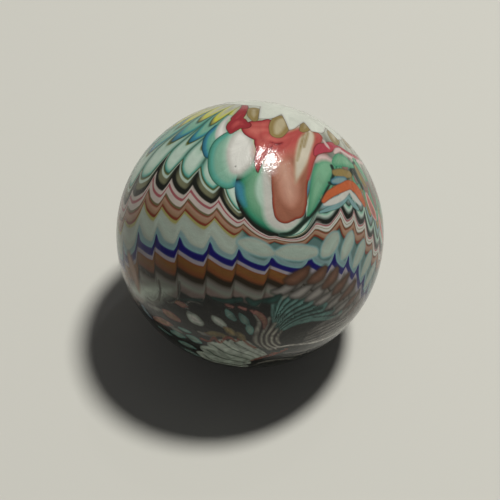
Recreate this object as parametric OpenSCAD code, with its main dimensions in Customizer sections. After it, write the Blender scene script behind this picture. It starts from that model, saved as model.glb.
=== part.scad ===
/* [Marble] */
// Diameter of the finished ball
marble_d = 44; // [25:1:64]

/* [Rake] */
// Strokes of the rake round the ball
strokes = 26; // [16:1:36]
// How far each stroke drags the bands, in degrees of latitude
drag = 4; // [1:0.5:5]
// How far the broad tongue pulls the bands down, in degrees of latitude
tongue_drag = 18; // [0:1:20]

/* [Hidden] */
ball_r = marble_d / 2;
// Sides that a full circle of the ball is drawn with
ball_sides = 60;
// The pole that the bands run round: its lean from upright, the way it leans, and where the front lies
pole_tilt = 48;
pole_turn = 83;
front_turn = 184.5;
// Bands from the crown down: latitude of the upper edge, share of the tongue's pull, and colour
bands = [
    [90, 0, "#d9dacb"],
    [57, 0, "#a9ac68"],
    [51, 0.2, "#6f9f93"],
    [43, 0.9, "#9db9a9"],
    [24, 1.15, "#22231f"],
    [18, 0.95, "#99705f"],
    [8, 0.5, "#aebaae"],
    [-5, 0.22, "#231d6e"],
    [-9, 0.15, "#80531f"],
    [-17, 0.05, "#34352f"],
];
// Longitude of the tongue's middle, and half the width of its pull
tongue_lon = 12;
tongue_reach = 16;
// Drawn glass that lies over the bands, each a ring of places in longitude and latitude
red_field = [
    [-24, 66], [-19, 49], [-13, 50], [-8, 46.5], [-2, 44.5], [-1, 37], [0.5, 27.5],
    [2.5, 34], [5.5, 42], [14, 43.5], [22, 46], [36, 52.5], [21, 53], [10, 58], [-6, 57]
];
tongue = [
    [7.5, 29], [7.5, 21], [8, 14.5], [10, 10], [13, 7.5], [17, 9.5], [21.5, 11.5], [23.5, 20],
    [25.5, 26.5], [30, 36], [36.5, 42.5], [43, 48.5], [36, 53.5], [14, 48], [6.5, 43]
];
white_ring = [
    [4, 34], [1.5, 28], [2, 19], [5.5, 9.5], [12.5, 4.3], [20, 7], [24.5, 11.5], [26.5, 20], [18, 32]
];
white_drop = [[-11, 47], [-17, 40], [-15.5, 32], [-10, 25.5], [-4, 29], [-2.2, 36], [-4.5, 43]];
// Rays out of the ball's middle end here, well outside its skin
rim_r = 1.6 * ball_r;
tip_r = 3 * ball_r;
// Places along one stroke as shares of its width, and how much of the drag each takes
stroke_at = [0, 0.3, 0.9];
stroke_pull = [1, 0, -1];

function place(lon, lat) = [cos(lat) * cos(lon), cos(lat) * sin(lon), sin(lat)];
function tongue_pull(lon) = tongue_drag * exp(-pow((lon - tongue_lon) / tongue_reach, 2));
function nearest_turn(lon) = lon > tongue_lon + 180 ? lon - 360 : lon;
function rim_lat(band, lon, pull) = band[0] + drag * pull - band[1] * tongue_pull(nearest_turn(lon));
function sum(values, i = 0) = i < len(values) ? values[i] + sum(values, i + 1) : 0;
function middle(ring) = [for (axis = [0 : 2]) sum([for (p = ring) place(p[0], p[1])[axis]]) / len(ring)];

// A solid whose edge is a ring of points, closed by the ball's middle and by one point outside it
module wedge(ring, tip) {
    n = len(ring);
    polyhedron(
        points = concat(ring, [[0, 0, 0], tip]),
        faces = concat(
            [for (i = [0 : n - 1]) [i, (i + 1) % n, n]],
            [for (i = [0 : n - 1]) [(i + 1) % n, i, n + 1]]
        )
    );
}

// All that lies above a band's raked upper edge
module above(band) {
    turns = [
        for (i = [0 : strokes - 1]) for (j = [0 : len(stroke_at) - 1])
            [360 / strokes * (i + stroke_at[j]), stroke_pull[j]]
    ];
    wedge([for (t = turns) rim_r * place(t[0], rim_lat(band, t[0], t[1]))], [0, 0, tip_r]);
}

// All that lies behind a ring of places
module behind(ring) {
    m = middle(ring);
    wedge([for (p = ring) rim_r * place(p[0], p[1])], m / norm(m) * tip_r);
}

// One band of glass from its own upper edge down to the next one's
module zone(i) {
    color(bands[i][2])
        difference() {
            intersection() {
                sphere(r = ball_r, $fn = ball_sides);
                if (i < len(bands) - 1) above(bands[i + 1]);
            }
            if (i > 0) above(bands[i]);
            behind(red_field);
            behind(tongue);
            behind(white_ring);
            behind(white_drop);
        }
}

// A patch of drawn glass, flush with the bands round it
module patch(ring, colour) {
    color(colour)
        intersection() {
            sphere(r = ball_r, $fn = ball_sides);
            behind(ring);
        }
}

// The whole marble: one ball of fused glass, with the raked bands and the drawn glass right through it
module marble() {
    rotate([0, pole_tilt, pole_turn]) rotate([0, 0, front_turn]) {
        for (i = [0 : len(bands) - 1]) zone(i);
        patch(red_field, "#a34446");
        difference() {
            patch(tongue, "#a86c58");
            behind(red_field);
        }
        difference() {
            patch(white_ring, "#c6cbbf");
            behind(tongue);
        }
        patch(white_drop, "#ced0c8");
    }
}

marble();
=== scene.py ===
"""A glass marble with raked bands of coloured glass, resting on a pale table under soft light."""
import math

import bpy
import numpy as np
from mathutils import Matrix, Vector


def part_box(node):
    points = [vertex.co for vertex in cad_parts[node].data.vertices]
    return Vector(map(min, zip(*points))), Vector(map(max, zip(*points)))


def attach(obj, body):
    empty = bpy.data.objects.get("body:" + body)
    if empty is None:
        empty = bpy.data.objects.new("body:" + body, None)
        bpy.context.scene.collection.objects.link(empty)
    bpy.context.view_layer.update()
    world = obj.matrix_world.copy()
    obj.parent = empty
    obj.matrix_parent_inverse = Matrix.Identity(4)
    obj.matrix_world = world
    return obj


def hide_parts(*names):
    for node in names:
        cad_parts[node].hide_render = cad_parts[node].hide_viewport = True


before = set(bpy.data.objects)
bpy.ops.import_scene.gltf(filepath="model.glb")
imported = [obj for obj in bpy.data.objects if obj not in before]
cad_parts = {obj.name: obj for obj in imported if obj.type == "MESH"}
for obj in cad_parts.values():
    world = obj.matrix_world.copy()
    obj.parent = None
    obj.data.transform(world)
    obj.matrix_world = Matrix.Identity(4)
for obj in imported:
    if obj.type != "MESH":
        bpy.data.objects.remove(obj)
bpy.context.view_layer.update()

bl_info = {
    "name": "Raked Glass Marble",
    "version": (1, 0, 0),
    "blender": (4, 5, 0),
    "location": "View3D > Sidebar > Marble",
    "description": "Makes a glass marble with raked bands and sets it on a pale table",
    "category": "Add Mesh",
}

NODE = "marble"
LOWEST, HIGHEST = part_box(NODE)
# The ball stays this far inside the part's box
HAIR = 0.00001
BALL_RADIUS = min(*HIGHEST, *(-LOWEST)) - HAIR
# The ball starts as a cube. Each edge is cut this many times, and the parts are then halved this often
CUBE_CUTS = 3
HALVINGS = 5

# Colours of the glass rods that the marble is made from; a few stand for painted shade or sheen, as said
# where they are used
GLASS = {
    "smoke": "#1A1B16", "dark_smoke": "#11120E", "ink": "#20211D", "sea_black": "#18241F",
    "white": "#D0CEC7", "chalk": "#C4C7BC", "pearl": "#B4B2AA", "ash": "#87827C", "dim_ash": "#6F6962",
    "umber": "#30291F", "amber": "#714D2A", "burnt_amber": "#71442A", "lilac": "#8C858B",
    "navy": "#1B1758", "navy_edge": "#2F3466", "haze": "#728A8B", "sea": "#6F9494", "olive": "#8F8B55",
    "dull_olive": "#5F5840", "brick": "#6E3326", "rose_brown": "#8A6D54", "rose_light": "#967865",
    "blush": "#AFA49C", "raspberry": "#8F4F54", "khaki": "#6A6A52", "mint_white": "#A3B3A6",
    "pine": "#365046", "teal": "#44806F", "mint": "#76A18D", "pale_mint": "#A0B9A8", "moss": "#5A5F2B",
    "deep_moss": "#33422A", "petrol": "#2B6074", "blue": "#3C7C90", "sea_green": "#55988A",
    "lemon": "#BABA40", "straw": "#ACAA7C", "stone": "#98998B", "grey": "#696B63",
    "grey_green": "#5B6760", "garnet": "#2E1011", "crimson": "#8C3035", "crimson_light": "#A84A49",
    "red": "#A34A46", "red_light": "#B56058", "oxblood": "#511F1C", "brick_red": "#873E2F",
    "salmon": "#8E5B48", "cream": "#BBB2A0", "tan": "#AA9078", "deep_green": "#1C4234", "leaf": "#377F62",
    "green": "#568B6C", "green_light": "#6E9A7C", "bottle": "#232F28", "rose": "#BFA5A1",
    "magenta": "#A03E4A", "ochre": "#857349", "ochre_light": "#A89C7E", "walnut": "#443727",
    "orange": "#AC5A38", "rust": "#7C4530", "plum": "#835850", "feather": "#567A73", "fan": "#B4C0B1",
    "teal_shade": "#234841", "scale_white": "#B4C6B8", "petrol_grey": "#536C68", "lichen": "#7A7E73",
    "milk": "#959C90", "milk_light": "#9CA79B", "oval_core": "#96A498", "coral": "#C09784",
    "coral_dim": "#A87663", "mint_dim": "#70867A", "mint_deep": "#7FA792", "rose_grey": "#75665F",
    "cocoa": "#4E382D", "sepia": "#6A4C3C", "dusk": "#5E5A55",
}

# Places on the ball are in degrees. Longitude runs to the right from the middle of the camera's side,
# and latitude runs up to the pole, which stands nearly square to the camera's line of sight.
POLE_TILT = 48.0
POLE_TURN = 83.0

# Where each stroke of the rake crosses the navy band, and how tall a peak it leaves
RAKE = [
    (-120, 1.1), (-106, 1.2), (-92, 1), (-80, 1), (-67, 1.2), (-53, 1.7), (-41.5, 1.1), (-29.5, 1),
    (-16, 1.15), (-4, 1.3), (9.5, 0.9), (25.5, 1), (37, 1.2), (45, 1.3), (53, 1.3), (61, 1.2), (70, 1.1),
    (81, 1), (93, 1.1), (105, 1.4), (118, 1), (130, 1.2), (143, 1.1), (156, 1), (168, 0.9), (181, 0.9),
    (197, 1.1), (208, 1.3), (218, 1.1), (229, 1.2),
]
WRAP_FROM = -120
# How far, by longitude, the dragged tongue pulls the bands down
DRAG = [
    (-120, 2), (-100, 0.5), (-60, 0), (-40, 0.3), (-28, 2), (-14, 6), (-3, 12.5), (5, 16.5), (12, 18.5),
    (20, 17), (27, 11.5), (33, 8.5), (36, 6), (40, 4.8), (46, 4.3), (52, 3.5), (60, 5), (70, 6), (85, 3),
    (110, 0), (145, 2), (158, 7), (169, 13), (180, 18), (190, 16), (200, 10), (215, 5), (240, 2),
]
# How strongly each band follows that pull, by height
TAKE = [(-30, 0), (-12, 0.1), (-5, 0.22), (8, 0.5), (20, 1), (30, 1.45), (45, 1.6), (90, 0.2)]
# How far, by longitude, all the bands sag together
SAG = [
    (-120, 2), (-90, 6), (-75, 8.5), (-62, 7), (-53, 1.6), (-40, 0.5), (-20, 0), (30, 0), (43, 0.6),
    (52, 3.5), (60, 8), (68, 12), (80, 13), (100, 6), (130, 0), (240, 2),
]
# Half the height of a raked peak, by height in the stack
REACH = [
    (-40, 1.6), (-16, 2), (-10, 2), (-5.5, 2), (-1.5, 4.2), (1, 3.6), (6, 2.4), (14, 2.4), (18.5, 2.5),
    (24, 3.4), (30, 4), (43, 4.4), (57, 5), (62, 5), (80, 0),
]
# How far the rake's strokes lean to the right, by latitude
LEAN = [(-40, -2), (-5, 0), (8, 1.2), (30, 4), (35, 5.5), (42, 9.5), (47, 12), (58, 13.5), (90, 20)]
# Share of each tooth that falls gently before the edge turns up again, by height
FALL = [(-16, 0.9), (-9, 0.86), (-5, 0.8), (15, 0.78), (22, 0.76), (30, 0.6), (60, 0.62)]
# How much less of it falls on the far right, where the teeth are nearly even
EVEN = [(-2, 0), (8, -0.38), (20, -0.2), (30, 0)]

# The stack of bands: height, and the rod that lies there. The two darkest rods at the bottom of
# the low stacks are painted shade: the glass is clear there and shows the shaded table through it
LOW_STACK = {
    -32: "smoke", -28: "dark_smoke", -26.2: "sea_black", -25.2: "rose_grey", -23.4: "rose_grey",
    -21.4: "lichen", -19.4: "dim_ash", -17.6: "umber", -16: "umber", -14.6: "burnt_amber", -12.4: "amber",
    -11: "amber", -10.2: "burnt_amber", -9.7: "lilac", -8.4: "lilac", -8: "navy_edge", -7.4: "navy",
    -5.9: "navy", -5.3: "navy_edge", -4.8: "sea", -3.4: "haze", -2.2: "haze", -0.9: "milk", 3: "milk_light",
    6.4: "milk", 7.1: "olive", 7.7: "olive", 8.1: "brick", 8.7: "brick", 9.4: "rose_brown",
    11.4: "rose_light", 12.3: "brick",
}
MID_STACK = {
    12.3: "brick", 12.8: "dull_olive", 13.4: "dull_olive", 13.8: "blush", 16: "blush", 16.4: "raspberry",
    17.3: "raspberry", 17.7: "blush", 18.9: "blush", 19.5: "ink", 21.6: "ink", 22.8: "khaki", 25: "khaki",
    25.6: "mint_white", 26.6: "mint_white", 27.2: "moss", 28: "pine", 29: "sea_green", 30.6: "pale_mint",
    34: "scale_white", 38.5: "scale_white", 42.4: "pale_mint", 43.6: "moss", 44.4: "deep_moss",
    45: "petrol", 47.4: "blue", 49: "sea_green", 52: "mint", 55: "mint", 56.8: "pine",
}
CROWN_STACK = {
    56.8: "pine", 57.4: "moss", 58.7: "olive", 61: "lemon", 65: "straw", 71: "stone", 85: "chalk",
}
RIGHT_LOW_STACK = {
    -30: "smoke", -26: "dark_smoke", -24.5: "grey_green", -23.5: "dusk", -18.4: "dim_ash", -17.8: "umber",
    -16.6: "dusk", -11.4: "dim_ash", -9.6: "lilac", -8.4: "lilac", -8: "navy_edge", -7.4: "navy",
    -5.9: "navy", -5.4: "navy_edge", -4.9: "sea", -3.4: "haze", -2: "haze", -0.4: "petrol_grey",
    6.4: "petrol_grey", 7.7: "teal_shade", 8.3: "brick", 8.9: "brick", 9.7: "rose_brown",
    11.6: "rose_light", 12.3: "brick",
}
RIGHT_STACK = {
    12.3: "brick", 13.1: "dull_olive", 13.7: "pearl", 14.8: "pearl", 15.1: "moss", 15.5: "pearl",
    16.4: "pearl", 16.7: "raspberry", 17.2: "raspberry", 17.6: "ash", 18.3: "ink", 20.6: "ink",
    21.6: "grey_green", 23.2: "mint_white", 25: "mint", 26.2: "bottle", 27.6: "grey_green", 30: "haze",
    31.6: "sea", 32.3: "walnut", 33.2: "ochre", 35.6: "ochre", 36.4: "pine", 37.4: "green", 41: "green",
    41.8: "pine", 42.6: "grey_green", 44.6: "plum", 47: "rose_grey", 48.4: "grey", 60: "stone", 80: "chalk",
}
STACK_JOIN = max(LOW_STACK)
CROWN_JOIN = max(MID_STACK)
# Dark glass drawn in along the rake's strokes: rod, between which heights, width as a share of a
# tooth, and strength. It fades out over the last few degrees of height
SEAM_SHADES = [
    ("umber", -28, -5, 0.07, 0.5), ("ink", 18.4, 27, 0.34, 1), ("teal", 28, 56, 0.3, 0.8),
    ("pine", 28, 56, 0.1, 0.8), ("moss", 56, 72, 0.14, 0.5),
]
SHADE_FADES = 2


def layer(name, rods, soft, *strokes):
    """A layer of glass drawn over the bands: its rods by depth in degrees, and its strokes."""
    return {"name": name, "rods": rods, "soft": soft, "strokes": strokes}


def chip(name, rods, *strokes):
    """A kind of small piece: its rods by depth in degrees, and its strokes."""
    return {"name": name, "rods": rods, "strokes": strokes}


# Glass drawn over the bands in strokes, from the lowest layer to the top one; two layers are partly
# painted sheen. A stroke is a row of places, each with half the stroke's width there: longitude,
# latitude, half width
DRAWN_UNDER = [
    layer("side_drop", {0: "bottle", 0.6: "petrol", 1.6: "blue", 2.6: "sea_green", 4.5: "mint"}, 0.35,
          [(-28, 50, 1.5), (-26.5, 44, 4), (-24.5, 39, 4.5), (-23.5, 35.5, 3.4)]),
    layer("side_white", {0: "mint", 1: "pearl", 2.5: "white"}, 1.2,
          [(-25, 58, 1.3), (-25.2, 52, 2), (-23, 46, 2.8), (-21.3, 42.5, 2.3)]),
    layer("mint_drop", {0: "deep_green", 0.6: "teal", 1.8: "sea_green", 3.4: "mint", 6.4: "mint_deep"}, 0.35,
          [(-17, 44, 3.4), (-15.8, 38, 7.2), (-14.6, 31, 7.4), (-13.2, 27, 6.6), (-11.6, 24, 4.6)]),
    layer("green_lobe", {0: "ink", 0.9: "ink", 1.5: "deep_green", 2.9: "leaf", 4.6: "green",
                         7.2: "green_light", 9: "pale_mint"}, 0.35,
          [(12.5, 12.2, 9.9), (9.5, 15, 12.2), (6.5, 19, 13.4), (5, 24, 11.8), (5, 29, 8.5)]),
    layer("lobe_blue", {0: "blue"}, 2, [(-8.5, 22, 0.4), (-6.5, 21, 1.6), (-5, 17, 1.3), (-3, 13.5, 0.5)]),
    layer("white_drop", {0: "pale_mint", 1.6: "pearl", 3.4: "white"}, 3,
          [(-12, 47, 2.4), (-10, 43, 5.2), (-8.7, 38, 6.6), (-8, 33.5, 6.3), (-8.6, 29.5, 4.4)]),
    layer("white_ring", {0: "mint_white", 1.8: "pearl"}, 2,
          [(12.6, 12.4, 8.2), (13, 18, 9.2), (12, 25, 8.6), (11, 31, 7.5)]),
    layer("bottle_line", {0: "pine", 0.5: "bottle", 1.2: "ink"}, 0.6,
          [(12, 3.2, 0.7), (16, 4, 0.9), (20, 7.3, 1), (23, 10.2, 1), (27.4, 14.6, 1), (30.8, 18.8, 0.9),
           (33.6, 23.4, 0.9), (38.2, 28.8, 0.9), (42.6, 34, 0.8), (46, 38.4, 0.7), (49.5, 41.5, 0.7),
           (53, 42.5, 0.3)]),
    layer("green", {0: "leaf", 0.9: "green", 2.5: "green_light"}, 0.8,
          [(23.4, 12, 0.7), (25.4, 16, 1.8), (27, 20, 2.6), (29.4, 25, 3.6), (32.4, 29.5, 4.4),
           (36, 33, 4.2), (39.6, 34.4, 2.8)]),
    layer("rose_top", {0: "rose"}, 2.2, [(31, 36, 0.7), (34, 37.8, 1.3), (38, 38, 1.3), (41, 36.8, 0.7)]),
    layer("tongue", {0: "oxblood", 0.5: "brick_red", 1.3: "salmon"}, 0.35,
          [(13.4, 12.2, 4.6), (14.8, 15.5, 6.6), (15.4, 19, 7.3), (15.4, 23, 7.5), (16, 28, 7.8),
           (18, 33, 8), (21, 38, 7.4), (26.5, 43, 6.4), (33.5, 47.5, 4.4), (41, 50.3, 2.4)],
          [(14, 31, 6), (13.5, 37, 6.5)], [(18.2, 13.7, 3.9), (18.1, 17, 4.8)]),
    # Partly the glass and partly painted sheen: the tongue is drawn lighter in its middle and towards the
    # glint above it
    layer("tongue_tint_and_sheen", {0: "salmon", 2.2: "coral_dim", 7: "coral"}, 4,
          [(11.2, 35, 4.6), (13.4, 29, 6), (14.8, 24, 6), (15.4, 19.5, 5.4), (15.8, 16.5, 3.6)]),
    layer("red_wash", {0: "red_light", 4: "red"}, 7,
          [(5.5, 38, 4.4), (9, 41, 5.6), (15, 43, 5), (21, 46, 4.5), (28, 49, 4)]),
    # Partly the glass and partly painted sheen: pale pink between the red tip and the tongue, round the glint
    layer("blush_and_sheen", {0: "rose", 2: "blush"}, 4, [(5, 36, 2), (6.5, 32, 1.6), (7.5, 29, 0.8)]),
    layer("cream", {0: "tan", 1.4: "cream"}, 1.4,
          [(36, 52.5, 1.6), (33.5, 50.5, 2.9), (28, 44, 3.6), (23.3, 37, 3.1), (20, 30, 1.8),
           (18, 24.5, 0.3)]),
    layer("tan_lines", {0: "ochre"}, 1.1,
          [(31, 52, 0.7), (26, 45.5, 0.6), (22.5, 40, 0.6), (20.2, 35, 0.4)],
          [(33.8, 51.5, 0.6), (29, 46.5, 0.6), (26, 42.5, 0.5)]),
    layer("red", {0: "garnet", 0.5: "crimson", 1.5: "red", 4: "red_light"}, 0.35,
          [(-9, 51, 2), (-4, 49.5, 4.3), (2, 48.5, 5.6), (6, 47, 5)],
          [(-4, 53.2, 3), (3, 54, 3.2), (6, 57, 1.6)],
          [(3, 43, 4), (2.5, 38, 2.8), (1, 33.5, 1.9), (0.8, 30, 1.1), (0.9, 27.6, 0.3)]),
    layer("red_band", {0: "red", 1.5: "red", 4: "red_light"}, 1.6,
          [(5, 46, 4), (10, 45, 3.4), (15, 46.2, 2.8), (21, 48.6, 2.3), (27, 51.4, 1.8), (34, 54.4, 1)],
          [(42, 50.3, 1.6), (38, 46.5, 1.5), (33.5, 42.5, 1.4), (29.3, 37.5, 1.2), (26.5, 32, 0.8),
           (24.5, 27, 0.5)]),
    layer("dark_oval", {0: "crimson", 0.8: "oxblood"}, 1,
          [(7, 43.6, 0.5), (10, 42.6, 0.8), (13.5, 43.6, 0.6)]),
    layer("crimson", {0: "garnet", 0.5: "crimson", 1.8: "crimson", 3.5: "crimson_light"}, 0.35,
          [(-17, 47, 1), (-17, 51, 3.3), (-15.5, 54, 3.8)], [(-13, 53, 3), (-9.5, 52.5, 2.4)],
          [(-18, 57, 2.7), (-17.5, 62, 2.3), (-19, 68, 1.7), (-25, 73, 1)]),
    layer("magenta", {0: "oxblood", 0.6: "magenta"}, 0.6,
          [(31.5, 38.8, 0.8), (34, 41, 1.8), (38.5, 43, 2.6), (43, 43.5, 2.6), (47.5, 45, 2.2),
           (52, 45.5, 1.6)], [(54, 45, 0.8), (58, 43, 1.3), (64, 41, 1.2), (74, 39.5, 1.2)]),
    layer("rose_far", {0: "rose"}, 0.8,
          [(43.5, 47.6, 0.5), (43.8, 45, 0.9), (44.2, 43.2, 0.4)],
          [(47, 41, 0.6), (50.5, 42.6, 1.1), (54.5, 43.4, 0.8)],
          [(54.5, 42.6, 0.8), (60, 40.2, 1), (68, 38.2, 1), (79, 37, 1)]),
    layer("dark_edge", {0: "pine", 0.6: "bottle"}, 0.6,
          [(35.5, 26, 0.8), (39.5, 25.9, 0.9), (45.5, 27.9, 1), (51.5, 30.9, 1.4), (56, 33.5, 1.7),
           (60.5, 36.3, 1), (66.5, 38.7, 0.6)], [(56.5, 33, 1.8), (57.5, 29, 1.4), (59, 25, 1)],
          [(40, 34, 1), (40, 31, 0.9), (37.5, 27.5, 0.9)]),
    layer("green_far", {0: "leaf", 0.6: "green", 2: "green_light"}, 0.5,
          [(43, 35.6, 1.6), (47, 37, 2.8), (51, 37.6, 3.3), (54.6, 36.6, 2.6), (57.5, 35.4, 1.4)],
          [(64, 38, 1.6), (65.5, 33.5, 1.7), (67.5, 29.5, 1.4)]),
    layer("ochre_far", {0: "dull_olive", 0.8: "ochre"}, 0.7,
          [(40.6, 30.9, 1.6), (46, 31, 2.4), (51.4, 31, 1.8)],
          [(60.5, 35, 1.2), (61, 30.5, 1.8), (63, 26.5, 1.4)]),
    layer("blue_far", {0: "petrol", 1: "haze"}, 0.7, [(38, 26.8, 1.2), (42, 27.6, 1.8), (46.4, 28.4, 1.2)]),
    layer("teal_under", {0: "pine", 0.5: "sea", 1: "haze"}, 0.5,
          [(29, 13.3, 0.6), (33.5, 14.9, 1.1), (39.5, 17, 1.2), (45.5, 20.8, 1)],
          [(46, 20.3, 0.9), (48, 18, 1.3), (51, 15.8, 1)]),
    layer("white_under", {0: "haze", 0.6: "pearl"}, 0.6,
          [(31.3, 16.6, 0.8), (35, 17.8, 1.5), (40, 19.6, 1.6), (44, 21.8, 1.5), (47, 24, 1.2)],
          [(47.5, 23.5, 1), (50, 20.6, 1.6), (53.5, 18, 1.1)]),
    layer("orange", {0: "rust", 0.6: "orange"}, 0.5,
          [(31, 18, 1), (34.6, 21, 1.7), (39.8, 23.4, 1.9), (44, 24.8, 2), (48.4, 26, 2.2), (52, 24.8, 2.5),
           (55, 21.4, 2.2), (57, 17.6, 1)]),
    layer("red_tear", {0: "rose", 0.8: "red_light", 2: "plum"}, 0.8,
          [(61.3, 22, 1.2), (62.7, 18, 2.2), (65.3, 14.5, 2.2), (67, 12.2, 1)],
          [(72, 13, 1.2), (74, 8, 1.6), (79, 3, 1.4)]),
    layer("ochre", {0: "walnut", 0.4: "ochre", 1.5: "ochre", 3: "ochre_light"}, 0.5,
          [(11, 49.3, 3.2), (13, 53, 4.2), (16, 57, 4.2), (19, 61, 2)],
          [(29.5, 52.4, 1.2), (33.5, 54.4, 2.2), (39, 58.5, 2.6)],
          [(53, 46.4, 1), (55.6, 48.6, 2.7), (59.6, 51.4, 3.4), (63, 53.4, 2)],
          [(70, 46, 1.6), (74, 48, 2.8)], [(-4.6, 57, 1.4), (-6, 61, 2.8), (-7.5, 66, 2.8)]),
    layer("ovals", {0: "sea", 1: "milk", 2.2: "oval_core"}, 0.9,
          [(-3.6, -1.2, 1.6), (0.5, -2, 3.3), (5.5, -3.4, 3.2), (9.5, -4.6, 1.6)],
          [(11.5, -4.2, 1.6), (16, -3.6, 3.3), (21.5, -3.4, 3.6), (27, -2.8, 2.4)],
          [(31.8, -3.2, 2), (33.8, -0.6, 3.7), (36, 2.6, 3.4), (37.4, 4.8, 1.6)],
          [(41.6, -4.6, 1.3), (43.2, -1.2, 3), (45, 2.8, 3), (46, 5.8, 1.2)],
          [(49.6, -8, 1.2), (51.4, -4.6, 2.8), (53.2, -0.6, 2.9), (54.4, 2.6, 1.2)],
          [(57.2, -12, 1.1), (59, -8.4, 2.7), (60.6, -4.6, 2.7), (61.8, -1.6, 1)],
          [(64, -17, 1), (65.8, -13.2, 2.5), (67.6, -9.2, 2.4), (68.8, -6.4, 1)]),
]

# Glass drawn over the combed strands, and one painted reflection
DRAWN_OVER = [
    layer("grey_blocks", {0: "ink", 0.7: "dusk", 1.8: "ash"}, 1.2,
          [(11.8, -20.4, 1), (15.5, -20, 2.1), (19.2, -17.2, 2.3), (21, -15, 1.2)],
          [(20.8, -21.6, 1.5), (23.6, -20.6, 2.4), (26.8, -18, 1.9), (29.4, -15.6, 1)],
          [(28, -23.2, 1.1), (30.2, -21.8, 2.1), (33.4, -19, 2.4), (35, -16.6, 1.2)],
          [(34.4, -24.6, 1.4), (36.8, -23, 2.2), (39.8, -20.4, 1.8), (41.8, -18, 1)],
          [(40.6, -27.4, 0.6), (43.2, -25, 2), (46.6, -21.6, 1.9), (48.8, -19.2, 0.6)],
          [(47, -30, 0.6), (49.6, -27.6, 1.9), (53, -24.2, 1.8), (55, -21.8, 0.6)],
          [(53.8, -33, 0.5), (56.4, -30.4, 1.7), (59.6, -26.8, 1.6), (61.6, -24.2, 0.5)]),
    layer("brown_ovals", {0: "umber", 0.8: "cocoa", 2.6: "sepia"}, 1.4,
          [(16.6, -15.2, 1.2), (19.6, -14.6, 3), (23.4, -12, 2.7), (25.4, -9.4, 1.4)],
          [(27.4, -15, 1.5), (29.6, -13.6, 2.6), (31.8, -11.8, 2.9), (33.4, -9, 1.6)],
          [(34.6, -17.4, 1), (36.2, -15.8, 2.1), (38.6, -12.6, 2.7), (39.6, -9.4, 1.6)],
          [(41.6, -19.6, 1.2), (43.4, -17.4, 2.6), (45.4, -14.8, 2.1), (47.2, -11.4, 1.3)],
          [(47.6, -22.4, 1.2), (49.6, -20.2, 1.9), (52, -17.2, 2.4), (53.4, -14.2, 1.3)],
          [(53.6, -26.8, 0.6), (56, -24.2, 2), (58.4, -20.8, 1.9), (60, -18.2, 0.6)],
          [(60, -31.4, 0.5), (62.4, -28.4, 1.7), (64.6, -25, 1.6), (66.2, -22, 0.5)]),
    layer("pale_wash", {0: "lichen", 4.4: "fan"}, 4,
          [(-66, -28, 2.4), (-58, -28, 4.4), (-50, -27.6, 5), (-42, -25.6, 3.8), (-35, -24.6, 2.2)]),
    layer("side_streak", {0: "amber", 2: "rose_light"}, 2.4,
          [(-61, -12.5, 2), (-60, -16, 2.8), (-59, -20, 2.8), (-58.8, -24.5, 2), (-59.6, -27.6, 0.9)]),
    layer("teal_patches", {0: "sea_black", 1.6: "teal_shade"}, 1,
          [(-31, -28.2, 0.7), (-25, -27.8, 1.1), (-19, -27, 0.8)],
          [(-14, -25.6, 0.8), (-8, -26.4, 1.3), (-1.5, -25.2, 1.5)],
          [(1.5, -24.6, 1.2), (4.5, -26.4, 1.8), (7.5, -24.8, 1)],
          [(9, -24.8, 1.4), (13, -24, 1.8), (15.5, -21.8, 1)]),
    # A painted reflection: a pale line where the edge of the table's shadow shows low in the glass
    layer("painted_reflection_line", {0: "ash", 0.5: "pearl"}, 0.6,
          [(20, -51, 0.4), (26.5, -49.4, 0.6), (35.5, -47.8, 0.7), (49, -46.4, 0.8), (60.5, -43.4, 0.9),
           (69, -39.4, 1), (74.5, -34.4, 0.7)]),
]

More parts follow.
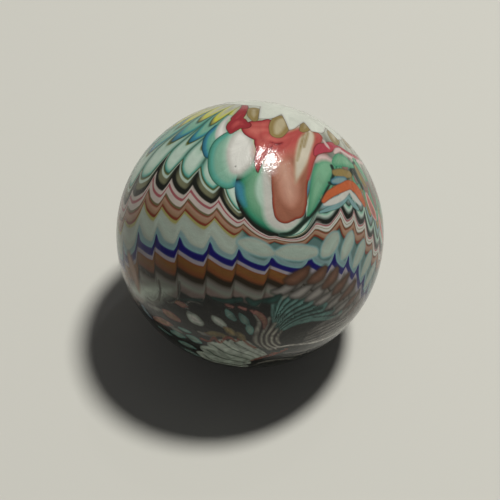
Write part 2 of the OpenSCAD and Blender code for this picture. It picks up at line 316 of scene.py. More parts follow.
# Small pieces that lie apart from one another, so that one ramp of rods serves them all
CHIPS = [
    chip("white_spots", {0: "grey", 1: "milk_light", 2: "white"},
         [(-27.4, -35.2, 1.5), (-25.2, -37.1, 2.8), (-22.6, -38.8, 2.1)],
         [(-14.2, -35.2, 1.3), (-12, -37, 2), (-9.8, -38.4, 1.5)]),
    chip("mint_chips", {0: "sea_black", 0.4: "feather", 1.5: "mint_dim"},
         [(-7.8, -30.9, 0.9), (-6, -33, 1.8), (-3.8, -35, 1.1)],
         [(-1.2, -32.2, 1), (1, -34.8, 1.8), (3, -36.6, 1.1)],
         [(3.4, -37.4, 1), (4.4, -39.6, 1.8), (5.4, -42, 1)],
         [(-47.5, -47.6, 1.2), (-43, -48.5, 2.3), (-38.8, -49.5, 1.1)],
         [(-34.5, -48.3, 1.2), (-31, -50, 2.4), (-27.6, -51.9, 1.2)],
         [(-48.5, -54.3, 1.2), (-43, -55.6, 2.4), (-37.5, -57.4, 1.2)],
         [(-57, -60.5, 1.2), (-51.5, -63, 2.3), (-46, -66, 1.2)],
         [(-38, -43.6, 0.8), (-34.5, -44.8, 1.3), (-31, -45.6, 0.8)],
         [(-60, -46, 0.9), (-56, -48.4, 1.4), (-52, -50, 0.8)]),
    chip("grey_chips", {0: "sea_black", 0.4: "dusk", 1.5: "lichen"},
         [(-55, -33.6, 1.3), (-50.4, -34.8, 1.6), (-46, -35.6, 1)],
         [(-27, -33.6, 0.5), (-28, -31, 0.6), (-26, -28.9, 0.6), (-22.5, -28.4, 0.5), (-19.6, -29.4, 0.5)],
         [(-45, -44, 0.9), (-41.6, -45.4, 1.4), (-38.6, -46.6, 0.8)],
         [(-25, -44.4, 0.8), (-22, -45.4, 1.2), (-19, -46, 0.7)],
         [(34, -54.5, 0.7), (47, -53, 1), (57.5, -50, 0.8)],
         [(38, -57.6, 0.6), (50, -56.2, 0.9), (62, -53.6, 0.6)],
         [(20, -68.5, 0.8), (28.5, -63, 1.2), (45, -60.5, 1), (60, -61.6, 0.7)]),
    chip("rose_chips", {0: "garnet", 0.5: "plum", 1.5: "rose_brown"},
         [(-43.6, -35.6, 1.5), (-39.6, -37.3, 2.4), (-35.6, -39.1, 1.4)],
         [(-57, -41, 1.4), (-50, -41.8, 2.4), (-43.6, -42.8, 1.3)],
         [(-33, -29.9, 1), (-30, -30.7, 1.5), (-27.4, -31.3, 0.7)], [(-73, -49, 1), (-69, -52, 1.5)],
         [(5.6, -30, 0.8), (8.5, -32, 1.5), (11.2, -35, 1.3), (11.6, -38.6, 0.7)],
         [(-8, -28.2, 0.7), (-5, -28.8, 0.9)], [(-2, -28.6, 0.7), (1, -29.4, 0.9)],
         [(3.6, -29.6, 0.7), (5.4, -31, 0.7)]),
    chip("straw_chips", {0: "umber", 0.4: "dull_olive", 1.5: "ochre"},
         [(-20, -44.6, 0.9), (-15, -44.4, 1.9), (-10, -44.6, 1.2)],
         [(-8.6, -40, 1), (-6, -42, 2), (-3.6, -43.4, 1.2)],
         [(-1.6, -42.4, 1), (0.4, -44.4, 1.7), (2.4, -46.2, 0.9)]),
    chip("rust_lines", {0: "rust", 0.4: "brick"},
         [(-25, -48.8, 0.7), (-20, -50, 0.6), (-16, -47, 0.7), (-13, -50, 0.6), (-7.5, -45.6, 0.7),
          (-2.5, -47.8, 0.6), (0, -45.2, 0.6), (5, -49, 0.6), (10.5, -51.4, 0.6)],
         [(12, -63.5, 0.6), (20, -58.8, 0.9), (27, -55, 1.1), (32.5, -51.2, 0.7)]),
    chip("dark_lines", {0: "bottle", 0.8: "bottle"},
         [(8, -48.4, 0.5), (15.5, -52.2, 0.7), (25, -53.6, 0.7), (30, -50.6, 0.5)]),
    chip("lobe_edges", {0: "umber", 0.5: "grey"},
         [(-41, -21, 0.5), (-41.6, -26, 0.6), (-44.6, -30, 0.6), (-49, -31.8, 0.5), (-53.6, -30.4, 0.4)],
         [(-29.5, -20.4, 0.5), (-30.4, -25.4, 0.6), (-33, -29, 0.6), (-37, -30.6, 0.5), (-41, -30, 0.4)]),
    chip("blue_chips", {0: "navy_edge", 0.8: "haze"},
         [(-64, -35.6, 1.3), (-63.4, -38.6, 1.8), (-62, -41.4, 1)]),
    chip("specks", {0: "ink", 0.3: "ink"}, [(-60.5, 0, 0.3)], [(-9.5, 29.6, 0.35)], [(-4.6, 12.8, 0.3)]),
]
CHIP_SOFT = 0.7
# Share of its place in that ramp that a kind fills, so that no kind runs into the next
CHIP_SHARE = 0.96
# Steps from one place of a stroke to the next, and of a guide, whose fine strands need more
STROKE_STEPS = 8
GUIDE_STEPS = 64
# The strands are worked out as far as this outside their guides, in degrees
STRANDS_FROM = -1

# Glass combed into many fine strands between a few guide strokes: strands to a gap, rods across one
# strand, and the guides in order
COMBED = [
    {"name": "feather", "strands": 2, "soft": 0.8,
     "rods": {0: "sea_black", 0.28: "teal_shade", 0.5: "feather", 0.8: "feather", 1: "sea_black"},
     "guides": [[(14.6, -22.8, 1.8), (14.6, -26, 2), (15, -30.4, 1.5), (16.2, -35.2, 0.9)],
                [(21.5, -23.2, 2.6), (18.4, -26.4, 2.6), (16.6, -31, 1.7), (16.8, -36, 0.9)],
                [(29, -24.4, 3), (23.5, -27.6, 2.8), (19, -32.4, 1.8), (17.8, -37, 1)],
                [(38, -26.6, 3.2), (29.5, -29.4, 2.8), (23, -34, 1.9), (19.2, -39.2, 1)],
                [(51, -29.6, 2.8), (37, -31.2, 2.2), (28, -34, 1.5), (22, -38.4, 0.8)]]},
    # The dark middles of these strands are painted shade, seen through the clear glass
    {"name": "eye_strands", "strands": 1, "soft": 0.9,
     "rods": {0: "stone", 0.22: "dim_ash", 0.5: "dark_smoke", 0.78: "dim_ash", 1: "stone"},
     "guides": [[(5.8, -31.2, 0.7), (8.6, -35, 1), (8.6, -41, 1.3), (9.6, -47, 1.3), (15.5, -51.6, 0.8)],
                [(13, -33, 0.8), (12.6, -38, 1.3), (11.8, -43.5, 1.4), (14.5, -49, 1.3), (21.5, -52, 0.7)],
                [(16.4, -35.6, 0.9), (15.4, -39, 1.2), (14.4, -43.5, 1.4), (17.5, -48.3, 1.2),
                 (24.5, -51, 0.7)],
                [(19, -38.4, 0.8), (17.6, -42, 1.1), (18.4, -45.4, 1.1), (21, -48, 1), (26, -49.8, 0.6)],
                [(21.4, -39.4, 0.6), (20.6, -42.6, 0.8), (21.6, -45.4, 0.8), (24.6, -47.4, 0.6)]]},
    {"name": "pale_strands", "strands": 2, "soft": 2,
     "rods": {0: "ink", 0.35: "dusk", 0.6: "ash", 1: "ink"},
     "guides": [[(39.5, -39.4, 0.8), (46, -35.4, 2), (57, -30.4, 2.4)],
                [(41, -43, 1), (50, -38.5, 2.4), (62, -32.4, 2.4)],
                [(42, -46.6, 0.9), (54, -42.5, 2.4), (68, -35.5, 2)]]},
    {"name": "shell", "strands": 1, "soft": 0.6,
     "rods": {0: "deep_green", 0.14: "milk", 0.5: "milk_light", 0.88: "milk", 1: "deep_green"},
     "guides": [[(3, -48.6, 2), (9, -51.8, 1.7), (15, -54.6, 1.4), (21, -57, 0.7)],
                [(-3.5, -48.8, 2.4), (6, -53.4, 2.3), (17, -57.6, 1.2)],
                [(-11, -50, 2.6), (-2, -55, 2.7), (13.5, -59.4, 1.6)],
                [(-18, -52.6, 2.8), (-9.5, -58, 3.1), (10, -62.4, 2)],
                [(-25, -57, 3.2), (-18, -63, 3.7), (7, -67, 2.6)],
                [(-34, -63, 3.4), (-30, -69.4, 4), (5, -73, 3)]]},
]

# White fins round the crown: the longitude of each one's upright edge, and the run of its lower edge
FINS = [
    (-2, [(-2, 58), (8, 59), (17.5, 63), (32, 69.5), (60, 76)]),
    (19.5, [(19.5, 51.5), (24, 53), (29, 55.5), (43.5, 61), (80, 70)]),
    (37.5, [(37.5, 52.5), (49, 52.5), (57.5, 55.5), (90, 64)]),
    (61, [(61, 49), (72, 50), (82, 55), (110, 62)]),
    (86, [(86, 47), (98, 49), (110, 55), (140, 63)]),
    (112, [(112, 52), (122, 55), (134, 62), (158, 70)]),
    (136, [(136, 57), (146, 60), (158, 66), (180, 72)]),
    (160, [(160, 60), (170, 63), (184, 69), (204, 74)]),
    (188, [(188, 62), (198, 65), (212, 71), (230, 75)]),
    (214, [(214, 62), (224, 65), (234, 70), (240, 73)]),
    (-112, [(-112, 63), (-102, 66), (-88, 71), (-70, 75)]),
    (-84, [(-84, 65), (-74, 68), (-62, 72), (-44, 76)]),
]
# All the glass above this latitude is white
CAP_FROM = 71
FIN_GLASS = layer("fins", {0: "walnut", 0.4: "pearl", 1.2: "chalk"}, 0.4)
# How a fin narrows at the end of its run, in degrees for each degree of longitude
FIN_TAPER = 0.5
# Depth kept for all places well outside a piece of glass, and for those deepest inside the white cap
OUTSIDE = -8.0
DEEPEST = 20.0

# Longitudes over which the right-hand stacks of bands set in, low and high, and over which they end
RIGHT_LOW_FROM = (17, 22)
RIGHT_HIGH_FROM = (22, 30)
RIGHT_TO = (110, 90)
# From the milky band up, the low one sets in further to the left
MILKY_FROM = (-6, -2)
MILKY_ABOVE = (-6.3, -4.3)
# Where the teeth are nearly even, and how much further they lean there
EVEN_FROM = (20, 45)
EVEN_TO = (130, 110)
EVEN_LEAN = 0.7
# Latitudes over which the sag fades towards the pole, and heights over which the tall peaks grow
SAG_FADES = (70, 40)
PEAKS_GROW = (-5, 10)
# Rounds in which a place's height in the stack and the pull at that height settle on each other
SETTLING = 40
# How sharply a tooth falls from its peak and flicks up again
SWOOP = 1.15
FLICK = 1.5
# Half the width of the dent along each stroke as a share of a tooth, and where it sets in and fades
DENT_WIDTH = 0.12
DENT_ABOVE = (-30, -10)
DENT_BELOW = (75, 55)

# How much finer the murk is than the streaks
MURK_FINER = 2.5
# How far the streaks change with each degree of height, as a share of their length
STREAK_STEP = 0.2
# The skin's waves are this much coarser and higher than its pits
WAVE_COARSER = 4
WAVE_HIGHER = 1.4
SKIN_DEPTH = 0.00007
GLASS_IOR = 1.5
# Sockets of a Mix node that mixes colours
UNDER, OVER, MIXED = 6, 7, 2

CAMERA_HEIGHT = 50.0
TABLE_RADIUS = 3
# A key lamp high on the right that makes the shadow, and a small one behind it that makes only the glint
LAMPS = [
    {"name": "key_lamp", "toward": (0.267, 0.187, 0.946), "size": 0.2, "energy": 14.4, "glints": False},
    {"name": "glint_lamp", "toward": (0.226, 0.452, 0.863), "size": 0.05, "energy": 12, "glints": True},
]
LAMP_DISTANCE = 1.2
LAMP_COLOUR = "#FFFFFA"
ROOM_COLOUR = "#F2F3F4"
ROOM_STRENGTH = 0.085


def linear(text):
    """Linear red, green and blue from an sRGB hex value."""
    levels = [int(text[i:i + 2], 16) / 255 for i in (1, 3, 5)]
    return [v / 12.92 if v <= 0.04045 else ((v + 0.055) / 1.055) ** 2.4 for v in levels]


def rod_property(name):
    """A colour that a user can change, for one rod of glass."""
    label = name.replace("_", " ").capitalize()
    return bpy.props.FloatVectorProperty(name=label, description=f"Colour of the {label.lower()} glass",
                                         subtype="COLOR", min=0, max=1, default=linear(GLASS[name]))


class MarbleSizes(bpy.types.PropertyGroup):
    """Sizes of the ball and of the marks that the rake leaves in it."""
    diameter: bpy.props.FloatProperty(
        name="Diameter", description="Diameter of the finished ball", unit="LENGTH", subtype="DISTANCE",
        default=2 * BALL_RADIUS)
    rake_dent: bpy.props.FloatProperty(
        name="Rake dent", description="Depth of the dent left along each stroke of the rake", unit="LENGTH",
        subtype="DISTANCE", default=0.00003)
    pit_size: bpy.props.FloatProperty(
        name="Pit size", description="Distance between the fine pits of the skin", unit="LENGTH",
        subtype="DISTANCE", default=0.0003)
    streak_size: bpy.props.FloatProperty(
        name="Streak size", description="Length of the streaks inside one band", unit="LENGTH",
        subtype="DISTANCE", default=0.006)


class MarbleColours(bpy.types.PropertyGroup):
    """Colours of the glass rods."""
    __annotations__ = {name: rod_property(name) for name in GLASS}


class StageSettings(bpy.types.PropertyGroup):
    """The camera and the table."""
    camera_height: bpy.props.FloatProperty(
        name="Camera height", description="How steeply the camera looks down", subtype="ANGLE",
        default=math.radians(CAMERA_HEIGHT))
    camera_distance: bpy.props.FloatProperty(
        name="Camera distance", description="From the camera to the middle of the ball", unit="LENGTH",
        subtype="DISTANCE", default=0.264)
    picture_width: bpy.props.IntProperty(
        name="Picture width", description="Width of the square picture in pixels", default=500)
    focal_pixels: bpy.props.FloatProperty(
        name="Focal length", description="Focal length in pixels of the picture", default=1600.7)
    lift_pixels: bpy.props.FloatProperty(
        name="Lift", description="How far above the picture's middle the ball stands, in pixels",
        default=15.7)
    table_colour: bpy.props.FloatVectorProperty(
        name="Table", description="Colour of the pale table", subtype="COLOR", min=0, max=1,
        default=linear("#CBC9C2"))


def smooth(x, points):
    """A smooth curve through a few given points."""
    at, level = np.array(points, float).T
    slope = np.gradient(level, at)
    x = np.clip(x, at[0], at[-1])
    i = np.clip(np.searchsorted(at, x) - 1, 0, len(at) - 2)
    gap = at[i + 1] - at[i]
    t = (x - at[i]) / gap
    return ((2 * t ** 3 - 3 * t ** 2 + 1) * level[i] + (t ** 3 - 2 * t ** 2 + t) * gap * slope[i]
            + (3 * t ** 2 - 2 * t ** 3) * level[i + 1] + (t ** 3 - t ** 2) * gap * slope[i + 1])


def pole_axes():
    """The ball's pole, the front of its middle, and the direction to the right of that."""
    tilt, turn = math.radians(POLE_TILT), math.radians(POLE_TURN)
    pole = np.array([math.sin(tilt) * math.cos(turn), math.sin(tilt) * math.sin(turn), math.cos(tilt)])
    height = math.radians(CAMERA_HEIGHT)
    toward = np.array([0, -math.cos(height), math.sin(height)])
    front = toward - pole * (toward @ pole)
    front /= np.linalg.norm(front)
    return pole, front, np.cross(pole, front)


def on_ball(lon, lat):
    """Direction from the middle of the ball to a place on it."""
    pole, front, right = pole_axes()
    lon, lat = np.radians(lon)[:, None], np.radians(lat)[:, None]
    return np.cos(lat) * (np.sin(lon) * right + np.cos(lon) * front) + np.sin(lat) * pole


def places(directions):
    """Longitude, from -120 round to 240, and latitude of each direction."""
    pole, front, right = pole_axes()
    lat = np.degrees(np.arcsin(np.clip(directions @ pole, -1, 1)))
    lon = np.degrees(np.arctan2(directions @ right, directions @ front))
    return (lon - WRAP_FROM) % 360 + WRAP_FROM, lat


def ramp(x, start, end):
    """Rises evenly from 0 at the start to 1 at the end."""
    return np.clip((x - start) / (end - start), 0, 1)


def band_fields(lon, lat):
    """Height in the stack, rake tooth, reach, fall, extra peak and share of the right-hand stacks."""
    drag, sag = smooth(lon, DRAG), smooth(lon, SAG) * ramp(lat, *SAG_FADES)
    height = lat.copy()
    for _ in range(SETTLING):
        height = (height + lat + drag * smooth(height, TAKE) + sag) / 2
    even = ramp(lon, *EVEN_FROM) * ramp(lon, *EVEN_TO)
    leaned = lon - smooth(lat, LEAN) * (1 + EVEN_LEAN * even)
    feet, peaks = np.array(RAKE + [(RAKE[0][0] + 360, RAKE[0][1])], float).T
    turns = np.floor((leaned - feet[0]) / 360)
    inside = leaned - 360 * turns
    tooth = np.interp(inside, feet, np.arange(len(feet))) + turns * len(RAKE)
    peak = np.interp(inside, feet, peaks)
    right_low = ramp(lon, *RIGHT_LOW_FROM)
    milky = ramp(lon, *MILKY_FROM) * ramp(height, *MILKY_ABOVE)
    return {
        "height": height,
        "tooth": tooth,
        "reach": smooth(height, REACH),
        "fall": smooth(height, FALL) + even * smooth(height, EVEN),
        "extra_peak": (peak - 1) * ramp(height, *PEAKS_GROW),
        "right_low": (right_low + (1 - right_low) * milky) * ramp(lon, *RIGHT_TO),
        "right_high": ramp(lon, *RIGHT_HIGH_FROM) * ramp(lon, *RIGHT_TO),
    }


def track(stroke, steps=STROKE_STEPS):
    """A smooth run of places and widths through a stroke's own few."""
    points = np.array(stroke, float)
    if len(points) == 1:
        return points
    along = np.linspace(0, len(points) - 1, (len(points) - 1) * steps + 1)
    stations = np.arange(len(points))
    return np.stack([smooth(along, np.stack([stations, column], 1)) for column in points.T], 1)


def degrees_apart(directions, others):
    """Angles between directions, in degrees."""
    return np.degrees(np.arccos(np.clip(directions @ others, -1, 1)))


def stroke_depth(directions, stroke):
    """How deep inside a stroke of glass each place lies, in degrees, and below 0 outside it."""
    run = track(stroke)
    centres = on_ball(run[:, 0], run[:, 1])
    middle = centres.mean(0) / np.linalg.norm(centres.mean(0))
    reach = degrees_apart(centres, middle).max() + run[:, 2].max() - OUTSIDE
    depth = np.full(len(directions), OUTSIDE)
    near = np.nonzero(directions @ middle > math.cos(math.radians(reach)))[0]
    depth[near] = np.maximum((run[:, 2] - degrees_apart(directions[near], centres.T)).max(1), OUTSIDE)
    return depth


def piece_depth(directions, strokes):
    """How deep inside the nearest of a few strokes each place lies."""
    return np.max([stroke_depth(directions, stroke) for stroke in strokes], axis=0)


def chip_fields(directions):
    """Depth inside the nearest small piece, and its place in the ramp that all kinds share."""
    depths = np.array([piece_depth(directions, kind["strokes"]) for kind in CHIPS])
    nearest = depths.argmax(0)
    depth = depths.max(0)
    deepest = np.array([max(kind["rods"]) for kind in CHIPS])[nearest]
    return depth, (nearest + CHIP_SHARE * np.clip(depth / deepest, 0, 1)) / len(CHIPS)


def combed_fields(directions, guides):
    """Depth inside a family of guides, and how far across it each place lies, counted in gaps."""
    depth = piece_depth(directions, guides)
    inside = np.nonzero(depth > STRANDS_FROM)[0]
    apart = []
    for guide in guides:
        run = track(guide, GUIDE_STEPS)
        apart.append(degrees_apart(directions[inside], on_ball(run[:, 0], run[:, 1]).T).min(1))
    apart = np.array(apart)
    first = (apart[:-1] + apart[1:]).argmin(0)
    every = np.arange(len(inside))
    near, far = apart[first, every], apart[first + 1, every]
    phase = np.zeros(len(directions))
    phase[inside] = first + near / (near + far)
    return depth, phase


def fin_depth(lon, lat):
    """How deep inside one of the white fins of the crown each place lies."""
    depth = np.full(len(lon), OUTSIDE)
    for edge, lower in FINS:
        inside = np.minimum((lon - edge) * np.cos(np.radians(lat)), lat - smooth(lon, lower))
        inside = np.minimum(inside, (lower[-1][0] - lon) * FIN_TAPER)
        depth = np.maximum(depth, inside)
    return np.clip(np.maximum(depth, lat - CAP_FROM), OUTSIDE, DEEPEST)


def write_field(mesh, name, values, domain="POINT"):
    """Keeps one number for each point or face corner of the mesh."""
    mesh.attributes.new(name, "FLOAT", domain).data.foreach_set("value", values.astype(np.float32))


def corner_teeth(mesh, tooth):
    """Rake tooth at each face corner, counted on past the seam at the back so that no face spans it."""
    corners = np.zeros(len(mesh.loops), np.int32)
    mesh.loops.foreach_get("vertex_index", corners)
    values = tooth[corners].reshape(-1, 4)
    values += np.round((values[:, :1] - values) / len(RAKE)) * len(RAKE)
    return values.ravel()


def add(tree, kind, inputs=(), **settings):
    """Adds a node, sets it up and joins its inputs to sockets or to a node's first output, or fills them."""
    node = tree.nodes.new("ShaderNode" + kind)
    for name, value in settings.items():
        setattr(node, name, value)
    for key, value in dict(inputs).items():
        if isinstance(value, bpy.types.Node):
            value = value.outputs[0]
        if isinstance(value, bpy.types.NodeSocket):
            tree.links.new(value, node.inputs[key])
        else:
            node.inputs[key].default_value = value
    return node


def fill(node, stops, colours):
    """Sets a colour ramp's stops: place from 0 to 1, and rod."""
    elements = node.color_ramp.elements
    while len(elements) > 1:
        elements.remove(elements[-1])
    for i, (place, rod) in enumerate(stops):
        element = elements[0] if i == 0 else elements.new(place)
        element.position = place
        element.color = (*getattr(colours, rod), 1)


def paint_stack(tree, height, stack, colours):
    """Colours for a stretch of the stack of bands."""
    low, high = min(stack), max(stack)
    along = add(tree, "MapRange", {"Value": height, "From Min": low, "From Max": high})
    node = add(tree, "ValToRGB", {"Fac": along})
    fill(node, [((at - low) / (high - low), rod) for at, rod in stack.items()], colours)
    return node


def join_stacks(tree, height, above, low, high, colours):
    """Colours for two stretches of the stack that meet at one height."""
    under, over = (paint_stack(tree, height, stack, colours) for stack in (low, high))
    return add(tree, "Mix", {"Factor": above, UNDER: under, OVER: over}, data_type="RGBA").outputs[MIXED]


def lay(tree, under, depth, soft, place, stops, colours):
    """Lays glass over the colour so far: its rods by a place from 0 to 1, inside an edge of some softness."""
    rods = add(tree, "ValToRGB", {"Fac": place})
    fill(rods, stops, colours)
    inside = add(tree, "MapRange", {"Value": depth, "From Min": -soft / 2, "From Max": soft / 2})
    mixed = add(tree, "Mix", {"Factor": inside, UNDER: under, OVER: rods}, data_type="RGBA")
    return mixed.outputs[MIXED]


def raked_height(tree):
    """Height in the stack after raking: each tooth falls gently from its peak and then turns up sharply."""
    read = {name: add(tree, "Attribute", attribute_name=name).outputs["Fac"]
            for name in ("height", "tooth", "reach", "fall", "extra_peak")}
    along = add(tree, "Math", {0: read["tooth"]}, operation="FRACT")
    falling = add(tree, "Math", {0: along, 1: read["fall"]}, operation="DIVIDE", use_clamp=True)
    quarter = add(tree, "Math", {0: falling, 1: math.pi / 2}, operation="MULTIPLY")
    sine = add(tree, "Math", {0: quarter}, operation="SINE")
    swoop = add(tree, "Math", {0: sine, 1: SWOOP}, operation="POWER")
    down = add(tree, "Math", {0: swoop, 1: -2, 2: 1}, operation="MULTIPLY_ADD")
    rising = add(tree, "MapRange", {"Value": along, "From Min": read["fall"], "From Max": 1})
    flick = add(tree, "Math", {0: rising, 1: FLICK}, operation="POWER")
    teeth = add(tree, "Math", {0: flick, 1: 2, 2: down}, operation="MULTIPLY_ADD")
    peak = add(tree, "Math", {0: teeth, 1: 0}, operation="MAXIMUM")
    tall = add(tree, "Math", {0: peak, 1: read["extra_peak"], 2: teeth}, operation="MULTIPLY_ADD")
    lift = add(tree, "Math", {0: tall, 1: read["reach"]}, operation="MULTIPLY")
    height = add(tree, "Math", {0: read["height"], 1: lift}, operation="SUBTRACT")
    return height, read["tooth"]


def glass_colour(tree, colours):
    """The marble's colour: the raked bands, then each layer of drawn glass in its order."""
    height, tooth = raked_height(tree)
    above = add(tree, "Math", {0: height, 1: STACK_JOIN}, operation="GREATER_THAN")
    crown = add(tree, "Math", {0: height, 1: CROWN_JOIN}, operation="GREATER_THAN")
    left = join_stacks(tree, height, above, LOW_STACK, MID_STACK, colours)
    top = paint_stack(tree, height, CROWN_STACK, colours)
    colour = add(tree, "Mix", {"Factor": crown, UNDER: left, OVER: top}, data_type="RGBA").outputs[MIXED]
    seam = add(tree, "Math", {0: tooth, 1: 0.5}, operation="PINGPONG")
    for shade in SEAM_SHADES:
        colour = shade_seams(tree, colour, seam, height, colours, *shade)
    right = join_stacks(tree, height, above, RIGHT_LOW_STACK, RIGHT_STACK, colours)
    low_share = add(tree, "Attribute", attribute_name="right_low").outputs["Fac"]
    high_share = add(tree, "Attribute", attribute_name="right_high").outputs["Fac"]
    share = add(tree, "Mix", {"Factor": above, 2: low_share, 3: high_share})
    colour = add(tree, "Mix", {"Factor": share, UNDER: colour, OVER: right}, data_type="RGBA").outputs[MIXED]
    for drawn in DRAWN_UNDER:
        colour = draw(tree, colour, drawn, colours)
    for combed in COMBED:
        colour = comb(tree, colour, combed, colours)
    for drawn in DRAWN_OVER:
        colour = draw(tree, colour, drawn, colours)
    colour = lay_chips(tree, colour, colours)
    return draw(tree, colour, FIN_GLASS, colours), height


def shade_seams(tree, colour, seam, height, colours, rod, low, high, width, strength):
    """Darkens the glass beside the rake's strokes, between two heights in the stack."""
    shade = add(tree, "MapRange", {"Value": seam, "From Max": width, "To Min": strength, "To Max": 0},
                interpolation_type="SMOOTHSTEP")
    rises = add(tree, "MapRange", {"Value": height, "From Min": low, "From Max": low + SHADE_FADES})
    falls = add(tree, "MapRange", {"Value": height, "From Min": high, "From Max": high - SHADE_FADES})
    within = add(tree, "Math", {0: rises, 1: falls}, operation="MULTIPLY")
    share = add(tree, "Math", {0: shade, 1: within}, operation="MULTIPLY")
    dark = (*getattr(colours, rod), 1)
    mixed = add(tree, "Mix", {"Factor": share, UNDER: colour, OVER: dark}, data_type="RGBA")
    return mixed.outputs[MIXED]


def lay_chips(tree, colour, colours):
    """Lays the small pieces over the colour so far."""
    stops = []
    for i, kind in enumerate(CHIPS):
        share = CHIP_SHARE / max(kind["rods"])
        stops += [((i + share * at) / len(CHIPS), rod) for at, rod in kind["rods"].items()]
    place = add(tree, "Attribute", attribute_name="chip_place").outputs["Fac"]
    depth = add(tree, "Attribute", attribute_name="chips").outputs["Fac"]
    return lay(tree, colour, depth, CHIP_SOFT, place, stops, colours)


def comb(tree, colour, combed, colours):
    """Lays a family of combed strands over the colour so far."""
    phase = add(tree, "Attribute", attribute_name=combed["name"] + "_phase").outputs["Fac"]
    strand = add(tree, "Math", {0: phase, 1: combed["strands"]}, operation="MULTIPLY")
    across = add(tree, "Math", {0: strand}, operation="FRACT")
    depth = add(tree, "Attribute", attribute_name=combed["name"]).outputs["Fac"]
    return lay(tree, colour, depth, combed["soft"], across, combed["rods"].items(), colours)


def draw(tree, colour, drawn, colours):
    """Lays one layer of drawn glass over the colour so far, with an edge as soft as the layer's own."""
    rods, soft = drawn["rods"], drawn["soft"]
    depth = add(tree, "Attribute", attribute_name=drawn["name"]).outputs["Fac"]
    deepest = max(*rods, soft)
    along = add(tree, "MapRange", {"Value": depth, "From Min": 0, "From Max": deepest})
    stops = [(at / deepest, rod) for at, rod in rods.items()]
    return lay(tree, colour, depth, soft, along, stops, colours)


def raked_glass(colours, sizes):
    """Fused soda glass, fire-polished: bright opaque colours under a clear gloss broken up by fine pits."""
    material = bpy.data.materials.new("fused_raked_glass")
    material.use_nodes = True
    tree = material.node_tree
    tree.nodes.clear()
    colour, height = glass_colour(tree, colours)
    place = add(tree, "TexCoord").outputs["Object"]
    # Streaks of lighter and darker glass along each band, as the rods leave them when they are drawn
    step = add(tree, "Math", {0: height, 1: STREAK_STEP * sizes.streak_size}, operation="MULTIPLY")
    streaks = add(tree, "TexNoise", {"Vector": place, "W": step, "Scale": 1 / sizes.streak_size,
                                     "Detail": 4, "Roughness": 0.65}, noise_dimensions="4D")
    tone = add(tree, "MapRange", {"Value": streaks, "From Min": 0.3, "From Max": 0.7,
                                  "To Min": 0.86, "To Max": 1.08})
    # Murk in the dark glass below, where the real marble is clear and one looks into it. Its dark
    # colour is painted shade: the shaded table seen through the clear glass
    murk = add(tree, "TexNoise", {"Vector": place, "Scale": MURK_FINER / sizes.streak_size, "Detail": 4,
                                  "Roughness": 0.6, "Distortion": 1.2})
    deep = add(tree, "MapRange", {"Value": height, "From Min": -22, "From Max": -27})
    cloud = add(tree, "MapRange", {"Value": murk, "From Min": 0.35, "From Max": 0.65,
                                   "To Min": 0.55, "To Max": 1.3})
    murky = add(tree, "Mix", {"Factor": deep, 2: 1.0, 3: cloud})
    shade = add(tree, "Math", {0: tone, 1: murky}, operation="MULTIPLY")
    shaded = add(tree, "Mix", {"Factor": 1.0, UNDER: colour, OVER: shade}, data_type="RGBA",
                 blend_type="MULTIPLY")
    # Real pits are too fine to show, so they are drawn as coarse as it takes for the glint to break up
    pits = add(tree, "TexNoise", {"Vector": place, "Scale": 1 / sizes.pit_size, "Detail": 2})
    wave_size = WAVE_COARSER * sizes.pit_size
    waves = add(tree, "TexNoise", {"Vector": place, "Scale": 1 / wave_size, "Detail": 1})
    skin = add(tree, "Math", {0: waves, 1: WAVE_HIGHER, 2: pits}, operation="MULTIPLY_ADD")
    bump = add(tree, "Bump", {"Height": skin, "Strength": 0.5, "Distance": SKIN_DEPTH})
    rough = add(tree, "MapRange", {"Value": pits, "From Min": 0.35, "From Max": 0.65,
                                   "To Min": 0.07, "To Max": 0.2})
    shader = add(tree, "BsdfPrincipled", {
        "Base Color": shaded.outputs[MIXED], "Roughness": rough, "IOR": GLASS_IOR,
        "Specular IOR Level": 0.3, "Normal": bump})
    add(tree, "OutputMaterial", {"Surface": shader})
    return material


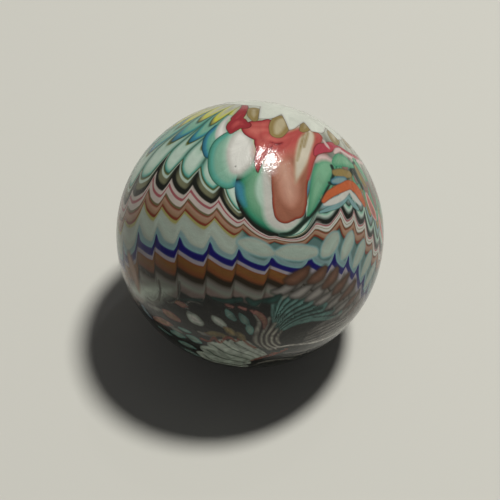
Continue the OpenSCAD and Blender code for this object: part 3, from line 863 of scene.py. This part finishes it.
class MARBLE_OT_ball(bpy.types.Operator):
    """Makes the ball, rakes its bands and gives it its glass"""
    bl_idname = "marble.ball"
    bl_label = "Glass ball"

    def execute(self, context):
        sizes, colours = context.scene.marble_sizes, context.scene.marble_colours
        radius = sizes.diameter / 2
        bpy.ops.object.select_all(action="DESELECT")
        bpy.ops.mesh.primitive_cube_add(size=radius)
        ball = context.object
        bpy.ops.object.mode_set(mode="EDIT")
        bpy.ops.mesh.select_all(action="SELECT")
        bpy.ops.mesh.subdivide(number_cuts=CUBE_CUTS)
        bpy.ops.transform.tosphere(value=1)
        bpy.ops.object.mode_set(mode="OBJECT")
        halved = ball.modifiers.new("even_faces", "SUBSURF")
        halved.levels = HALVINGS
        halved.render_levels = HALVINGS
        rounded = ball.modifiers.new("true_round", "CAST")
        rounded.factor = 1
        rounded.use_radius_as_size = False
        rounded.size = radius
        for name in ("even_faces", "true_round"):
            bpy.ops.object.modifier_apply(modifier=name)
        bpy.ops.object.shade_smooth()
        ball.name = ball.data.name = "raked_ball"
        self.rake(ball, sizes)
        ball.data.materials.append(raked_glass(colours, sizes))
        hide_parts(NODE)
        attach(ball, "root")
        return {"FINISHED"}

    def rake(self, ball, sizes):
        """Works out the fields that the glass is coloured by, and dents the ball along the rake's strokes."""
        mesh = ball.data
        points = np.zeros(len(mesh.vertices) * 3, np.float32)
        mesh.vertices.foreach_get("co", points)
        points = points.reshape(-1, 3).astype(float)
        directions = points / np.linalg.norm(points, axis=1, keepdims=True)
        lon, lat = places(directions)
        fields = band_fields(lon, lat)
        tooth = fields.pop("tooth")
        write_field(mesh, "tooth", corner_teeth(mesh, tooth), "CORNER")
        for drawn in DRAWN_UNDER + DRAWN_OVER:
            fields[drawn["name"]] = piece_depth(directions, drawn["strokes"])
        fields["chips"], fields["chip_place"] = chip_fields(directions)
        for combed in COMBED:
            name = combed["name"]
            fields[name], fields[name + "_phase"] = combed_fields(directions, combed["guides"])
        fields["fins"] = fin_depth(lon, lat)
        for name, values in fields.items():
            write_field(mesh, name, values)
        beside = np.abs(tooth - np.round(tooth)) / DENT_WIDTH
        dent = sizes.rake_dent * np.exp(-beside ** 2) * ramp(lat, *DENT_ABOVE) * ramp(lat, *DENT_BELOW)
        mesh.vertices.foreach_set("co", (points - directions * dent[:, None]).ravel())
        mesh.update()


class MARBLE_OT_stage(bpy.types.Operator):
    """Lays the table, hangs the lamps and sets up the camera"""
    bl_idname = "marble.stage"
    bl_label = "Table, light and camera"

    def execute(self, context):
        stage = context.scene.marble_stage
        self.lay_table(context, stage)
        self.hang_lamps(context)
        self.aim_camera(context, stage)
        context.scene.view_settings.view_transform = "Standard"
        return {"FINISHED"}

    def lay_table(self, context, stage):
        """A wide pale table that touches the ball's lowest point."""
        bpy.ops.object.select_all(action="DESELECT")
        bpy.ops.mesh.primitive_circle_add(vertices=96, radius=TABLE_RADIUS, fill_type="NGON",
                                          location=(0, 0, LOWEST.z))
        table = context.object
        table.name = "table"
        bpy.ops.object.transform_apply(location=True)
        # Matt laminate: a pale, even top with soft-edged shadows and hardly a reflection
        material = bpy.data.materials.new("matt_laminate")
        material.use_nodes = True
        shader = material.node_tree.nodes["Principled BSDF"]
        shader.inputs["Base Color"].default_value = (*stage.table_colour, 1)
        shader.inputs["Roughness"].default_value = 0.85
        shader.inputs["Specular IOR Level"].default_value = 0.2
        table.data.materials.append(material)

    def hang_lamps(self, context):
        """Round lamps that face the ball, in an even pale room."""
        for lit in LAMPS:
            toward = Vector(lit["toward"]).normalized()
            lamp = bpy.data.lights.new(lit["name"], "AREA")
            lamp.shape = "DISK"
            lamp.size = lit["size"]
            lamp.energy = lit["energy"]
            lamp.color = linear(LAMP_COLOUR)
            holder = bpy.data.objects.new(lit["name"], lamp)
            holder.location = toward * LAMP_DISTANCE
            holder.rotation_euler = toward.to_track_quat("Z", "Y").to_euler()
            holder.visible_glossy = lit["glints"]
            holder.visible_diffuse = not lit["glints"]
            context.collection.objects.link(holder)
        world = bpy.data.worlds.new("pale_room")
        world.use_nodes = True
        room = world.node_tree.nodes["Background"]
        room.inputs["Color"].default_value = (*linear(ROOM_COLOUR), 1)
        room.inputs["Strength"].default_value = ROOM_STRENGTH
        context.scene.world = world

    def aim_camera(self, context, stage):
        """A long lens, from the front and well above."""
        camera = bpy.data.cameras.new("camera")
        camera.sensor_width = 36
        camera.lens = stage.focal_pixels * camera.sensor_width / stage.picture_width
        camera.clip_start = 0.01
        holder = bpy.data.objects.new("camera", camera)
        height = stage.camera_height
        holder.location = Vector((0, -math.cos(height), math.sin(height))) * stage.camera_distance
        drop = math.atan(stage.lift_pixels / stage.focal_pixels)
        holder.rotation_euler = (math.pi / 2 - height - drop, 0, 0)
        context.collection.objects.link(holder)
        context.scene.camera = holder


class MARBLE_PT_tools(bpy.types.Panel):
    """Lists the steps in the order that they are run"""
    bl_label = "Raked glass marble"
    bl_space_type = "VIEW_3D"
    bl_region_type = "UI"
    bl_category = "Marble"

    def draw(self, context):
        for name in ("diameter", "rake_dent", "pit_size", "streak_size"):
            self.layout.prop(context.scene.marble_sizes, name)
        self.layout.operator(MARBLE_OT_ball.bl_idname)
        self.layout.prop(context.scene.marble_stage, "camera_height")
        self.layout.operator(MARBLE_OT_stage.bl_idname)


CLASSES = (MarbleSizes, MarbleColours, StageSettings, MARBLE_OT_ball, MARBLE_OT_stage, MARBLE_PT_tools)


def register():
    for item in CLASSES:
        bpy.utils.register_class(item)
    bpy.types.Scene.marble_sizes = bpy.props.PointerProperty(type=MarbleSizes)
    bpy.types.Scene.marble_colours = bpy.props.PointerProperty(type=MarbleColours)
    bpy.types.Scene.marble_stage = bpy.props.PointerProperty(type=StageSettings)


def unregister():
    del bpy.types.Scene.marble_sizes
    del bpy.types.Scene.marble_colours
    del bpy.types.Scene.marble_stage
    for item in reversed(CLASSES):
        bpy.utils.unregister_class(item)


def main():
    """Makes the marble and its stage."""
    register()
    bpy.ops.marble.ball()
    bpy.ops.marble.stage()


if __name__ == "__main__":
    main()
